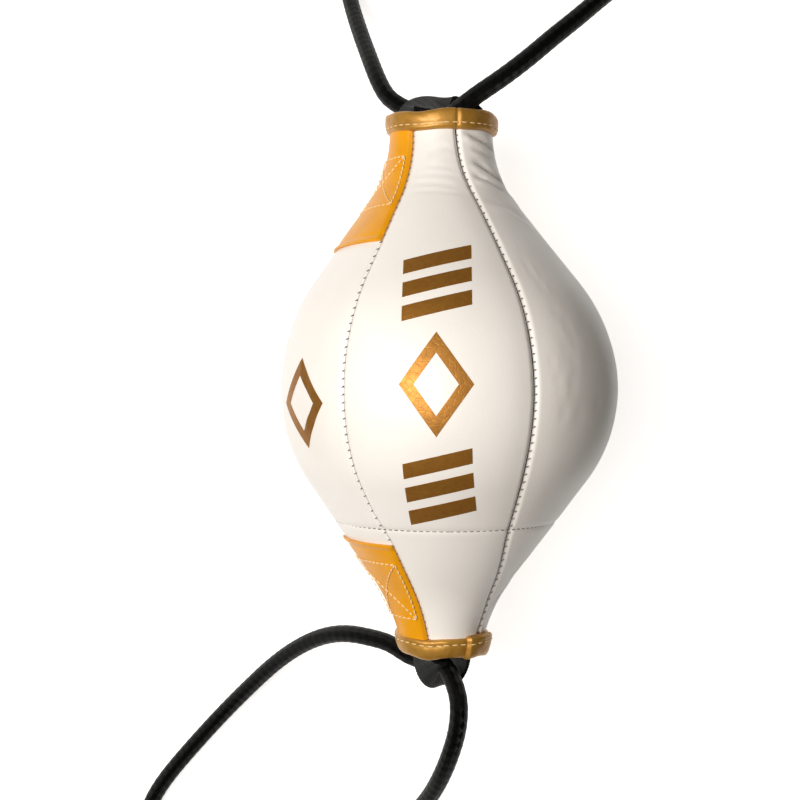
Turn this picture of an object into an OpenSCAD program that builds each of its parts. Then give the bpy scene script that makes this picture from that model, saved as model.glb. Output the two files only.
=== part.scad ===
// Double end bag: a sewn leather spindle with a bladder inside, lying on its
// side. Elastic cord is looped through the webbing at each mouth and ends in
// a crimped clamp with a swivelling snap hook. +Y runs from the bottom mouth
// to the top mouth, and the bag lies on Z = 0.

/* [Belly and necks] */
// Radius of the belly over the leather
belly_r = 92.5; // [84:0.5:112]
// Length from the belly to the edge of the top mouth
top_len = 150.5; // [142:0.5:185]
// Length from the belly to the edge of the bottom mouth
low_len = 142.5; // [134:0.5:160]
// Radius of the belly's curve above the middle
top_belly_curve = 98; // [88:1:115]
// Radius of the belly's curve below the middle
low_belly_curve = 86; // [80:1:100]
// Narrowest radius of the upper neck over the leather
top_neck_r = 28.3; // [25:0.1:36]
// Narrowest radius that the lower neck's curve runs out to
low_neck_r = 19.5; // [18.5:0.1:26]
// Radius of the upper neck's hollow curve
top_neck_curve = 70; // [55:1:85]
// Radius of the lower neck's hollow curve
low_neck_curve = 110; // [90:1:125]
// Distance from the belly to the narrowest place of the upper curve
top_waist = 142; // [136:1:180]
// Distance from the belly to the narrowest place of the lower curve
low_waist = 165; // [160:1:190]

/* [Panels and tabs] */
// Turn of the panels about the bag's axis, in degrees
panel_turn = -6.8; // [-30:0.1:30]
// Thickness of the leather panels
leather_t = 2.2; // [1.5:0.1:3]
// Thickness of the cloth lining
lining_t = 0.8; // [0.4:0.1:1.5]
// Distance of the cross seam below the belly
cross_seam = 71; // [60:1:78]
// Thickness of the neck tabs
tab_t = 1.4; // [0.8:0.1:2.2]
// Distance from the belly to the lower end of the upper tabs
top_tab_start = 76; // [65:1:110]
// Distance from the belly to the upper end of the lower tabs
low_tab_start = 80; // [79:1:110]
// Width of the edge binding along the neck
binding_h = 9.5; // [6:0.5:14]
// Thickness of the edge binding
binding_t = 1.5; // [0.8:0.1:2.2]

/* [Webbing loops] */
// Width of the webbing
webbing_w = 22; // [16:0.5:24]
// Thickness of the webbing
webbing_t = 2; // [1.4:0.1:2.8]
// Length of each sewn leg inside the neck
webbing_leg = 60; // [30:1:64]
// How far the top loop stands out of its mouth
top_loop_out = 8.5; // [5:0.5:14]
// How far the bottom loop stands out of its mouth
low_loop_out = 18.5; // [15:0.5:24]

/* [Bladder] */
// Gap between the lining and the bladder
bladder_gap = 1.2; // [0.6:0.1:3]
// Thickness of the bladder's rubber
bladder_t = 1.6; // [1:0.1:2.5]
// Half of the bladder's length
bladder_half = 104; // [90:1:108]
// Radius of the valve's stem
valve_r = 5; // [4:0.1:6]
// Radius of the valve's needle hole
needle_r = 1.2; // [0.8:0.1:1.6]
// Length of the valve's stem outside the bladder
valve_len = 11; // [8:0.5:14]

/* [Elastic cord] */
// Diameter of the braided elastic cord
cord_d = 10; // [8:0.1:10.4]

/* [Clamps and hooks] */
// Distance between the two cord ends in a clamp
end_pitch = 11; // [10.8:0.1:13]
// Wall of the clamp's sleeves
sleeve_wall = 1.8; // [1.2:0.1:2.5]
// Length of the clamp's sleeves
sleeve_len = 20; // [16:0.5:28]
// Radius of the clamp's nose
nose_r = 8; // [7.6:0.1:10]
// Length of the clamp's nose
nose_len = 12; // [11:0.5:16]
// Radius of the swivel rivet's stem
rivet_r = 3; // [2.4:0.1:3.4]
// Running clearance round the rivet and the gate pin
running_gap = 0.05; // [0.02:0.01:0.1]
// Clearance between parts that turn past each other
turning_gap = 0.3; // [0.2:0.05:0.5]
// Radius of the hook's round bar
bar_r = 3.2; // [2.8:0.1:3.6]
// Radius of the bend at the hook's end
hook_bend = 9; // [8.6:0.1:12]
// Length of the straight bar beside the gate
hook_straight = 33; // [30:1:42]
// Radius of the gate's bar
gate_r = 2.6; // [2:0.1:2.8]
// Radius of the gate's pin
gate_pin_r = 1.2; // [0.9:0.1:1.4]
// Thickness of the gate's tongue
tongue_t = 2.6; // [2:0.1:3]

/* [Hidden] */

panel_count = 6;
panel_angle = 360 / panel_count;
right_tab_panel = 2;
left_tab_panel = 5;
wall_t = leather_t + lining_t;

// Sizes that the outline's curves and the bladder were laid out for. They
// keep in step when the belly, a neck or the length is changed.
laid_belly_r = 92.5;
laid_top_neck_r = 28.3;
laid_low_neck_r = 19.5;
laid_length = 293;

// The outline is two arcs a side, the belly's and the neck's, with the
// straight line between them that touches both.
function touch_angle(waist, belly_c, neck_c, neck) =
    let (
        across = belly_c + neck_c - (belly_r - neck),
        sum = belly_c + neck_c
    )
    atan2(waist, across) - acos(sum / sqrt(waist * waist + across * across));

function side_r(y, waist, belly_c, neck_c, neck) =
    let (
        a = touch_angle(waist, belly_c, neck_c, neck),
        belly_end = belly_c * sin(a),
        neck_end = waist - neck_c * sin(a)
    )
    y <= belly_end ? belly_r - belly_c + sqrt(belly_c * belly_c - y * y)
    : y >= neck_end ? neck + neck_c - sqrt(neck_c * neck_c - (waist - y) * (waist - y))
    : belly_r - belly_c * (1 - cos(a)) - (y - belly_end) * tan(a);

// A deeper neck leaves less room for the two arcs, so they tighten with it.
function arc_room(waist, depth) = (waist * waist + depth * depth) / (2 * depth);
function arc_scale(waist, neck, laid_neck) =
    arc_room(waist, belly_r - neck) / arc_room(waist, laid_belly_r - laid_neck);
top_scale = arc_scale(top_waist, top_neck_r, laid_top_neck_r);
low_scale = arc_scale(low_waist, low_neck_r, laid_low_neck_r);

function outline_r(y) = y >= 0
    ? side_r(y, top_waist, top_belly_curve * top_scale, top_neck_curve * top_scale, top_neck_r)
    : side_r(-y, low_waist, low_belly_curve * low_scale, low_neck_curve * low_scale, low_neck_r);

// Every layer of the wall is cut at the same stations, so that the layers
// meet face to face.
stations_each_side = 16;
top_step = top_len / stations_each_side;
low_step = low_len / stations_each_side;
stations = [
    for (i = [-stations_each_side : stations_each_side])
        i < 0 ? i * low_step : i * top_step
];
function wall_r(y) =
    let (
        step = y < 0 ? low_step : top_step,
        a = floor(y / step) * step,
        share = (y - a) / step
    )
    share < 0.001 ? outline_r(a) : (1 - share) * outline_r(a) + share * outline_r(a + step);
function stations_from(y0, y1) = concat(
    [y0], [for (y = stations) if (y > y0 + 0.01 && y < y1 - 0.01) y], [y1]
);
function reversed(list) = [for (i = [len(list) - 1 : -1 : 0]) list[i]];
function edge(y0, y1, offset) =
    [for (y = stations_from(y0, y1)) [wall_r(y) + offset, y]];

// The bag is built about its own axis and then laid on its side.
top_reach = top_len + binding_t + top_loop_out;
low_reach = low_len + binding_t + low_loop_out;
bag_shift = (low_reach - top_reach) / 2;
module lay_down() {
    translate([0, bag_shift, belly_r]) rotate([-90, 0, 0]) children();
}

// A layer of the wall between two stations, turned over one panel or more.
module wall_layer(y0, y1, outer, inner, first = 0, turn = 360) {
    outline = concat(edge(y0, y1, outer), reversed(edge(y0, y1, inner)));
    lay_down()
        rotate_extrude(angle = turn, start = panel_turn + first * panel_angle - panel_angle / 2 - 90, $fn = 96)
            polygon(outline);
}

module panel(index) {
    color("#F5F1EC") wall_layer(-cross_seam, top_len, 0, -leather_t, index, panel_angle);
}

module lower_panel(index) {
    color("#F5F1EC") wall_layer(-low_len, -cross_seam, 0, -leather_t, index, panel_angle);
}

module top_tab(index) {
    color("#F5A91A") wall_layer(top_tab_start, top_len, tab_t, 0, index, panel_angle);
}

module low_tab(index) {
    color("#F5A91A") wall_layer(-low_len, -low_tab_start, tab_t, 0, index, panel_angle);
}

module lining() {
    color("#2B2B2D") wall_layer(-low_len, top_len, -leather_t, -wall_t);
}

// The binding is a channel folded over the mouth's edge.
module binding(mouth, side) {
    foot = mouth - side * binding_h;
    lip = mouth + side * binding_t;
    low = min(foot, mouth);
    high = max(foot, mouth);
    outer = edge(low, high, tab_t + binding_t);
    inner = edge(low, high, -wall_t - binding_t);
    outer_face = edge(low, high, tab_t);
    inner_face = edge(low, high, -wall_t);
    up_outer = side > 0 ? outer : reversed(outer);
    up_inner = side > 0 ? inner : reversed(inner);
    up_outer_face = side > 0 ? outer_face : reversed(outer_face);
    up_inner_face = side > 0 ? inner_face : reversed(inner_face);
    outer_lip_r = wall_r(mouth) + tab_t + binding_t;
    inner_lip_r = wall_r(mouth) - wall_t - binding_t;
    color("#C08A2E") lay_down() rotate_extrude($fn = 96)
        polygon(concat(
            up_outer, [[outer_lip_r, lip], [inner_lip_r, lip]],
            reversed(up_inner), up_inner_face, reversed(up_outer_face)
        ));
}

// The webbing runs down inside the neck on both tab panels and arches over
// the mouth, from the binding's edge.
arch_points = 14;
webbing_slack = 0.2;
leg_points = 6;
function leg_x(y) =
    sqrt(pow(wall_r(y) - wall_t - binding_t, 2) - webbing_w * webbing_w / 4) - webbing_slack;
module webbing_loop(mouth, side, out) {
    foot = mouth + side * binding_t;
    end = foot - side * webbing_leg;
    leg_ys = [for (i = [0 : leg_points - 1]) end + (foot - end) * i / leg_points];
    right_outer = [for (y = leg_ys) [leg_x(y), y]];
    right_inner = [for (y = leg_ys) [leg_x(y) - webbing_t, y]];
    arch_outer = [
        for (i = [0 : arch_points])
            let (a = 180 * i / arch_points)
            [leg_x(foot) * cos(a), foot + side * out * sin(a)]
    ];
    arch_inner = [
        for (i = [0 : arch_points])
            let (a = 180 * i / arch_points)
            [(leg_x(foot) - webbing_t) * cos(a), foot + side * (out - webbing_t) * sin(a)]
    ];
    left_outer = [for (p = reversed(right_outer)) [-p[0], p[1]]];
    left_inner = [for (p = reversed(right_inner)) [-p[0], p[1]]];
    color("#151515") lay_down()
        rotate([0, 0, panel_turn + right_tab_panel * panel_angle - 90])
            rotate([90, 0, 0])
                translate([0, 0, -webbing_w / 2])
                    linear_extrude(webbing_w)
                        polygon(concat(
                            right_outer, arch_outer, left_outer,
                            reversed(left_inner), reversed(arch_inner), reversed(right_inner)
                        ));
}

// The bladder fills the belly and closes smoothly at both ends.
bladder_mid = (top_len - low_len) / 2;
bladder_reach = bladder_half * (top_len + low_len) / laid_length;
bladder_points = 26;
bladder_power = 6;
patch_r = 13;
patch_t = 3;
valve_flange_r = 10;
valve_flange_t = 2;
bladder_top = bladder_mid + bladder_reach;
function bladder_curve(inset) = [
    for (i = [0 : bladder_points])
        let (
            s = sin(-90 + 180 * i / bladder_points),
            y = bladder_mid + (bladder_reach - inset) * s,
            r = wall_r(y) - wall_t - bladder_gap - inset
        )
        [max(0, r * sqrt(max(0, 1 - pow(s, bladder_power)))), y]
];
module bladder() {
    color("#3A3A3C") lay_down() rotate_extrude($fn = 96)
        difference() {
            union() {
                polygon(concat(bladder_curve(0), reversed(bladder_curve(bladder_t))));
                translate([0, bladder_top - patch_t]) square([patch_r, patch_t]);
            }
            translate([0, bladder_top - patch_t - 1]) square([valve_r, patch_t + 2]);
        }
}

module bladder_valve() {
    color("#202022") lay_down() rotate_extrude($fn = 48)
        difference() {
            union() {
                translate([0, bladder_top - patch_t]) square([valve_r, patch_t + valve_len]);
                translate([0, bladder_top]) square([valve_flange_r, valve_flange_t]);
            }
            translate([0, bladder_top - patch_t - 1])
                square([needle_r, patch_t + valve_len + 2]);
        }
}

// The cord's runs start inside the webbing loops and end at the clamps.
clamp_z = nose_r;
clamp_top_at = [10, 395, clamp_z];
clamp_low_at = [-85, -380, clamp_z];
cord_top_left_route = [
    [0, 150.5, 92.5], [-3.5, 151.2, 86], [-8, 153.8, 80.5], [-13, 158, 76.8], [-20.5, 162.3, 75.3],
    [-29.5, 167.5, 74], [-34.5, 177, 70], [-38.5, 188.5, 63], [-42.5, 202, 52], [-47, 217, 40],
    [-51.5, 234, 26.5], [-56, 253, 14], [-59, 272, 6.5], [-58.5, 290, 5], [-53, 307, 5],
    [-43.5, 323, 5], [-31, 337, 5], [-17, 350, 5], [-5, 364, 5.5], [2, 378, 6.5], [4.5, 394.7, 8]
];
cord_top_right_route = [
    [0, 150.5, 92.5], [4.5, 151.5, 99.5], [11, 155.3, 106], [19.5, 161, 109.5], [28.5, 166.5, 111],
    [38, 173.5, 110.5], [48.5, 182, 109], [60, 192.5, 106.5], [73, 203.5, 102.5], [86, 216, 96],
    [101, 230, 87], [114, 246, 73], [122, 264, 56], [124, 283, 38], [119, 302, 21], [108, 319, 10],
    [93, 332, 5.5], [76, 342, 5], [60, 351, 5], [44, 360, 5.5], [30, 370, 6], [19.5, 381, 7],
    [15.5, 394.7, 8]
];
cord_low_left_route = [
    [0, -149.5, 92.5], [-4, -150.5, 84.5], [-10.5, -152, 79], [-18.5, -150.5, 75.5],
    [-28.5, -143.5, 72], [-40, -141.7, 67.5], [-52, -140.5, 61], [-64.5, -143, 52], [-77, -149, 42],
    [-90.5, -158.5, 31], [-104, -170.5, 21], [-117.5, -184.5, 12.5], [-131, -198.5, 7],
    [-144, -212.5, 5], [-157, -227, 5], [-170, -242, 5], [-181, -258, 5], [-186.5, -276, 5],
    [-184, -295, 5], [-174, -311, 5], [-159, -323, 5], [-142, -332, 5], [-125, -340, 5],
    [-110, -348.5, 5.5], [-98, -358.5, 6], [-92, -369, 7], [-90.5, -379.7, 8]
];
cord_low_right_route = [
    [0, -149.5, 92.5], [3, -152, 101], [6.4, -157.5, 107.5], [8.6, -165, 111.2], [8.8, -174, 112],
    [7.6, -184, 110.5], [5, -194.5, 107], [1.5, -206.5, 101], [-3, -219.5, 92], [-8.5, -232.5, 80],
    [-16, -246, 65.5], [-26, -261, 48.5], [-37, -277, 31], [-48.5, -293.5, 16], [-58.5, -311, 7],
    [-66, -329, 5], [-72, -347, 5.5], [-77.5, -364, 6.5], [-79.5, -379.7, 8]
];
run_start = [4, 0, 8.5];
cord_sides = 10;

function unit(v) = v / norm(v);
function route_heading(route, i, first, last) =
    i == 0 ? unit(first)
    : i == len(route) - 1 ? unit(last)
    : unit(route[i + 1] - route[i - 1]);
function ring(centre, heading) =
    let (
        side = unit(cross(heading, [0, 0, 1])),
        up = cross(side, heading)
    )
    [
        for (k = [0 : cord_sides - 1])
            let (a = 360 * k / cord_sides)
            centre + cord_d / 2 * (cos(a) * side + sin(a) * up)
    ];
module cord_run(route, first, last) {
    count = len(route);
    points = [
        for (i = [0 : count - 1])
            for (p = ring(route[i], route_heading(route, i, first, last))) p
    ];
    sides = [
        for (i = [0 : count - 2])
            for (k = [0 : cord_sides - 1])
                let (
                    a = i * cord_sides + k,
                    b = i * cord_sides + (k + 1) % cord_sides
                )
                for (face = [[a, b, b + cord_sides], [a, b + cord_sides, a + cord_sides]]) face
    ];
    start_cap = [[for (k = [cord_sides - 1 : -1 : 0]) k]];
    end_cap = [[for (k = [0 : cord_sides - 1]) (count - 1) * cord_sides + k]];
    color("#101010") polyhedron(points = points, faces = concat(start_cap, sides, end_cap));
}

// Clamp, rivet, hook and gate are drawn along +Y from the clamp's mouth, and
// the set at the bottom end is turned round.
end_bore_r = cord_d / 2 + 0.2;
sleeve_r = end_bore_r + sleeve_wall;
end_depth = sleeve_len - 3;
nose_end = sleeve_len + nose_len;
cavity_wall = 3;
rivet_head_r = 5;
rivet_head_t = 3;
cavity_r = rivet_head_r + 0.6;
cavity_start = sleeve_len + 2;
rivet_head_start = nose_end - cavity_wall - turning_gap - rivet_head_t;
hook_start = nose_end + turning_gap;
collar_r = 6.5;
collar_len = 8;
bar_y = hook_start + collar_len + 1.5;
bend_y = bar_y + hook_straight;
gate_y = bar_y + 7;
lug_w = 7.4;
lug_t = 9.6;
lug_len = 11;
slot_t = 5.4;
nose_tip_y = bend_y - 7;
gate_end_y = nose_tip_y - turning_gap;
spring_t = 1.2;

module at_end(place, turned) {
    translate(place) rotate([0, 0, turned ? 180 : 0]) children();
}
module along(y0, length, r) {
    translate([0, y0, 0]) rotate([-90, 0, 0]) cylinder(h = length, r = r, $fn = 48);
}

module clamp(place, turned) {
    color("silver") at_end(place, turned) difference() {
        union() {
            for (side = [-1, 1])
                translate([side * end_pitch / 2, 0, 0]) along(0, sleeve_len, sleeve_r);
            translate([-end_pitch / 2, 0, -sleeve_r])
                cube([end_pitch, sleeve_len, 2 * sleeve_r]);
            along(sleeve_len, nose_len, nose_r);
        }
        for (side = [-1, 1])
            translate([side * end_pitch / 2, 0, 0]) along(-1, end_depth + 1, end_bore_r);
        along(cavity_start, nose_end - cavity_wall - cavity_start, cavity_r);
        along(nose_end - cavity_wall - 1, cavity_wall + 2, rivet_r + running_gap);
    }
}

// The crimp holds both ends of the cord in the sleeves.
module cord_ends(place, turned) {
    color("#101010") at_end(place, turned)
        for (side = [-1, 1])
            translate([side * end_pitch / 2, 0, 0]) along(0, end_depth, end_bore_r);
}

module swivel_rivet(place, turned) {
    color("gainsboro") at_end(place, turned) {
        along(rivet_head_start, rivet_head_t, rivet_head_r);
        along(rivet_head_start + rivet_head_t, hook_start + collar_len - rivet_head_start - rivet_head_t, rivet_r);
    }
}

module hook(place, turned) {
    color("silver") at_end(place, turned) difference() {
        union() {
            along(hook_start, collar_len, collar_r);
            translate([-hook_bend, bar_y, 0]) rotate([0, 90, 0])
                cylinder(h = 2 * hook_bend, r = bar_r, $fn = 48);
            translate([hook_bend, bar_y, 0]) sphere(r = bar_r, $fn = 48);
            translate([hook_bend, 0, 0]) along(bar_y, hook_straight, bar_r);
            translate([0, bend_y, 0])
                rotate_extrude(angle = 180, $fn = 96)
                    translate([hook_bend, 0]) circle(r = bar_r, $fn = 48);
            translate([-hook_bend, 0, 0]) along(nose_tip_y, bend_y - nose_tip_y, bar_r);
            translate([-hook_bend - lug_w / 2, bar_y - bar_r, -lug_t / 2])
                cube([lug_w, lug_len, lug_t]);
        }
        along(hook_start - 1, collar_len + 1, rivet_r);
        translate([-hook_bend - lug_w, gate_y - 4, -slot_t / 2]) cube([2 * lug_w, lug_len, slot_t]);
        translate([-hook_bend, gate_y, -lug_t]) cylinder(h = 2 * lug_t, r = gate_pin_r, $fn = 32);
    }
}

module gate(place, turned) {
    tongue_z = -slot_t / 2 + turning_gap;
    neck_y = bar_y - bar_r + lug_len + turning_gap + 1.5;
    tongue_r = 3;
    color("gainsboro") at_end(place, turned) difference() {
        union() {
            translate([-hook_bend, gate_y, tongue_z]) cylinder(h = tongue_t, r = tongue_r, $fn = 48);
            translate([-hook_bend - tongue_r, gate_y, tongue_z])
                cube([2 * tongue_r, neck_y + 2 - gate_y, tongue_t]);
            translate([-hook_bend, 0, 0]) along(neck_y, gate_end_y - neck_y, gate_r);
        }
        translate([-hook_bend, gate_y, -lug_t])
            cylinder(h = 2 * lug_t, r = gate_pin_r + running_gap, $fn = 32);
    }
}

module gate_pin(place, turned) {
    color("dimgray") at_end(place, turned)
        translate([-hook_bend, gate_y, -lug_t / 2]) cylinder(h = lug_t, r = gate_pin_r, $fn = 32);
}

// The spring is wound round the pin beside the tongue.
module gate_spring(place, turned) {
    spring_z = -slot_t / 2 + turning_gap + tongue_t + turning_gap;
    color("dimgray") at_end(place, turned)
        translate([-hook_bend, gate_y, spring_z]) difference() {
            cylinder(h = spring_t, r = gate_pin_r + 1.4, $fn = 32);
            translate([0, 0, -1]) cylinder(h = spring_t + 2, r = gate_pin_r + 0.4, $fn = 32);
        }
}

panel(0);  // panel_front
panel(1);  // panel_front_right
panel(2);  // panel_back_right
panel(3);  // panel_back
panel(4);  // panel_back_left
panel(5);  // panel_front_left
lower_panel(0);  // lower_panel_front
lower_panel(1);  // lower_panel_front_right
lower_panel(2);  // lower_panel_back_right
lower_panel(3);  // lower_panel_back
lower_panel(4);  // lower_panel_back_left
lower_panel(5);  // lower_panel_front_left
top_tab(left_tab_panel);  // tab_top_left
top_tab(right_tab_panel);  // tab_top_right
low_tab(left_tab_panel);  // tab_low_left
low_tab(right_tab_panel);  // tab_low_right
binding(top_len, 1);  // binding_top
binding(-low_len, -1);  // binding_low
webbing_loop(top_len, 1, top_loop_out);  // loop_top
webbing_loop(-low_len, -1, low_loop_out);  // loop_low
lining();
bladder();
bladder_valve();
cord_run(cord_top_left_route, -run_start, [0, 1, 0]);  // cord_top_left
cord_run(cord_top_right_route, run_start, [0, 1, 0]);  // cord_top_right
cord_run(cord_low_left_route, -run_start, [0, -1, 0]);  // cord_low_left
cord_run(cord_low_right_route, run_start, [0, -1, 0]);  // cord_low_right
clamp(clamp_top_at, false);  // clamp_top
cord_ends(clamp_top_at, false);  // cord_ends_top
swivel_rivet(clamp_top_at, false);  // swivel_rivet_top
hook(clamp_top_at, false);  // hook_top
gate(clamp_top_at, false);  // gate_top
gate_pin(clamp_top_at, false);  // gate_pin_top
gate_spring(clamp_top_at, false);  // gate_spring_top
clamp(clamp_low_at, true);  // clamp_low
cord_ends(clamp_low_at, true);  // cord_ends_low
swivel_rivet(clamp_low_at, true);  // swivel_rivet_low
hook(clamp_low_at, true);  // hook_low
gate(clamp_low_at, true);  // gate_low
gate_pin(clamp_low_at, true);  // gate_pin_low
gate_spring(clamp_low_at, true);  // gate_spring_low
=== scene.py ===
import math
import random

import bpy
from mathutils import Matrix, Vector, noise


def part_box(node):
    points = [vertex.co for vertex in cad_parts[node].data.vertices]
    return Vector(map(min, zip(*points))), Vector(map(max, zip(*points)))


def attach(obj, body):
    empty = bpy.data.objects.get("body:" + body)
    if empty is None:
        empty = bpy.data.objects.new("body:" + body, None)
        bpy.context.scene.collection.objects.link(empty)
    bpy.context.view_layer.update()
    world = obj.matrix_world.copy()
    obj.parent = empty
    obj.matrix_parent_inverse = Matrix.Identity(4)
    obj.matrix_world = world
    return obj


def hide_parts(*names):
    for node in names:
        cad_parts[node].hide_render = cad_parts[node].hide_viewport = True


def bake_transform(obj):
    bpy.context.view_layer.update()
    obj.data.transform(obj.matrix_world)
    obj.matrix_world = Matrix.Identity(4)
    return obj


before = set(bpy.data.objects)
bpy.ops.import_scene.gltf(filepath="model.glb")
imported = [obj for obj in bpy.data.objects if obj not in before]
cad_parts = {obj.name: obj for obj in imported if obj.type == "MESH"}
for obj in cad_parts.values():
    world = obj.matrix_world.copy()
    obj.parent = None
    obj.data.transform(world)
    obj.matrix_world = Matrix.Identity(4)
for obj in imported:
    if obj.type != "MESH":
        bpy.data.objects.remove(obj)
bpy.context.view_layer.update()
scene = bpy.context.scene
MM = 0.001


# ---------------------------------------------------------------- Camera
# The bag is seen from straight above, a little to the left of its axis,
# from 600 mm over the axis. The view takes in 444 mm at that distance.
axis_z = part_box("panel_front")[1].z / 2
camera_over_axis = 600 * MM
view_width = 444 * MM
camera_data = bpy.data.cameras.new("camera")
camera_data.sensor_width = 36
camera_data.lens = camera_data.sensor_width * camera_over_axis / view_width
camera_data.clip_start = 0.01
camera_data.clip_end = 20
camera = bpy.data.objects.new("camera", camera_data)
camera.location = (-23 * MM, -4.4 * MM, axis_z + camera_over_axis)
scene.collection.objects.link(camera)
scene.camera = camera


# ---------------------------------------------------------------- Elastic cord
# 10 mm rubber-cored rope in a braided black polyester sleeve. Each mouth has
# one length of it, which turns back through the webbing loop, so it makes two
# runs. Both ends of a length are crimped into that end's clamp.
cord_r = 5 * MM
braid_sides = 50
braid_bumps = 10
braid_pitch = 5.2 * MM
braid_relief = 0.22 * MM
ring_step = 0.75 * MM
crimped_length = 15 * MM

runs = {
    "cord_top_left": [
        (0, 150.5, 92.5), (-3.5, 151.2, 86), (-8, 153.8, 80.5), (-13, 158, 76.8), (-20.5, 162.3, 75.3),
        (-29.5, 167.5, 74), (-34.5, 177, 70), (-38.5, 188.5, 63), (-42.5, 202, 52), (-47, 217, 40),
        (-51.5, 234, 26.5), (-56, 253, 14), (-59, 272, 6.5), (-58.5, 290, 5), (-53, 307, 5),
        (-43.5, 323, 5), (-31, 337, 5), (-17, 350, 5), (-5, 364, 5.5), (2, 378, 6.5), (4.5, 394.7, 8),
    ],
    "cord_top_right": [
        (0, 150.5, 92.5), (4.5, 151.5, 99.5), (11, 155.3, 106), (19.5, 161, 109.5), (28.5, 166.5, 111),
        (38, 173.5, 110.5), (48.5, 182, 109), (60, 192.5, 106.5), (73, 203.5, 102.5), (86, 216, 96),
        (101, 230, 87), (114, 246, 73), (122, 264, 56), (124, 283, 38), (119, 302, 21), (108, 319, 10),
        (93, 332, 5.5), (76, 342, 5), (60, 351, 5), (44, 360, 5.5), (30, 370, 6), (19.5, 381, 7),
        (15.5, 394.7, 8),
    ],
    "cord_low_left": [
        (0, -149.5, 92.5), (-4, -150.5, 84.5), (-10.5, -152, 79), (-18.5, -150.5, 75.5),
        (-28.5, -143.5, 72), (-40, -141.7, 67.5), (-52, -140.5, 61), (-64.5, -143, 52),
        (-77, -149, 42), (-90.5, -158.5, 31), (-104, -170.5, 21), (-117.5, -184.5, 12.5),
        (-131, -198.5, 7), (-144, -212.5, 5), (-157, -227, 5), (-170, -242, 5), (-181, -258, 5),
        (-186.5, -276, 5), (-184, -295, 5), (-174, -311, 5), (-159, -323, 5), (-142, -332, 5),
        (-125, -340, 5), (-110, -348.5, 5.5), (-98, -358.5, 6), (-92, -369, 7), (-90.5, -379.7, 8),
    ],
    "cord_low_right": [
        (0, -149.5, 92.5), (3, -152, 101), (6.4, -157.5, 107.5), (8.6, -165, 111.2), (8.8, -174, 112),
        (7.6, -184, 110.5), (5, -194.5, 107), (1.5, -206.5, 101), (-3, -219.5, 92), (-8.5, -232.5, 80),
        (-16, -246, 65.5), (-26, -261, 48.5), (-37, -277, 31), (-48.5, -293.5, 16), (-58.5, -311, 7),
        (-66, -329, 5), (-72, -347, 5.5), (-77.5, -364, 6.5), (-79.5, -379.7, 8),
    ],
}


def link_mesh(name, points, faces):
    """A new mesh object at the origin, smooth all over."""
    mesh = bpy.data.meshes.new(name)
    mesh.from_pydata([tuple(p) for p in points], [], faces)
    mesh.polygons.foreach_set("use_smooth", [True] * len(mesh.polygons))
    piece = bpy.data.objects.new(name, mesh)
    scene.collection.objects.link(piece)
    return piece


def smooth_route(corners, step):
    """A cubic B-spline along the corners, cut into even steps. It starts and ends on the end corners."""
    p = [Vector(c) for c in corners]
    p = [2 * p[0] - p[1]] + p + [2 * p[-1] - p[-2]]
    fine = []
    for i in range(len(p) - 3):
        for k in range(40):
            t = k / 40
            fine.append(
                ((1 - t) ** 3 * p[i] + (3 * t**3 - 6 * t**2 + 4) * p[i + 1]
                 + (-3 * t**3 + 3 * t**2 + 3 * t + 1) * p[i + 2] + t**3 * p[i + 3]) / 6
            )
    fine.append(p[-2])
    lengths = [0.0]
    for a, b in zip(fine, fine[1:]):
        lengths.append(lengths[-1] + (b - a).length)
    count = round(lengths[-1] / step)
    route, j = [], 0
    for i in range(count + 1):
        want = lengths[-1] * i / count
        while j < len(fine) - 2 and lengths[j + 1] < want:
            j += 1
        share = (want - lengths[j]) / max(1e-9, lengths[j + 1] - lengths[j])
        route.append(fine[j].lerp(fine[j + 1], share))
    return route


def braided_tube(name, route):
    """The cord's sleeve, with the bumps of its braid, and a UV map in bumps round and pitches along."""
    points, uvs = [], []
    heading = (route[1] - route[0]).normalized()
    side = heading.cross(Vector((0, 0, 1))).normalized()
    travelled = 0.0
    for i, centre in enumerate(route):
        ahead = route[min(i + 1, len(route) - 1)] - route[max(i - 1, 0)]
        heading = ahead.normalized()
        side = (side - heading * side.dot(heading)).normalized()
        up = heading.cross(side)
        if i:
            travelled += (centre - route[i - 1]).length
        for k in range(braid_sides):
            round_share = k / braid_sides
            u, v = round_share * braid_bumps, travelled / braid_pitch
            bump = math.sin(math.pi * (u + v)) * math.sin(math.pi * (u - v))
            r = cord_r - braid_relief * (0.5 - 0.5 * bump)
            angle = math.tau * round_share
            points.append(centre + r * (math.cos(angle) * side + math.sin(angle) * up))
            uvs.append((u, v))
    faces = []
    for i in range(len(route) - 1):
        for k in range(braid_sides):
            a = i * braid_sides + k
            b = i * braid_sides + (k + 1) % braid_sides
            faces.append((a, b, b + braid_sides, a + braid_sides))
    last = (len(route) - 1) * braid_sides
    faces.append(tuple(reversed(range(braid_sides))))
    faces.append(tuple(range(last, last + braid_sides)))
    piece = link_mesh(name, points, faces)
    layer = piece.data.uv_layers.new(name="braid")
    for face in piece.data.polygons:
        wraps = {uvs[v][0] for v in face.vertices}
        closes = len(face.vertices) == 4 and max(wraps) - min(wraps) > braid_bumps / 2
        for loop in face.loop_indices:
            u, v = uvs[piece.data.loops[loop].vertex_index]
            layer.data[loop].uv = (u + braid_bumps if closes and u < 1 else u, v)
    return piece


def linear(code):
    """An sRGB hex colour as linear RGBA."""
    shares = [int(code[i : i + 2], 16) / 255 for i in (1, 3, 5)]
    return [c / 12.92 if c <= 0.04045 else ((c + 0.055) / 1.055) ** 2.4 for c in shares] + [1.0]


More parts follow.
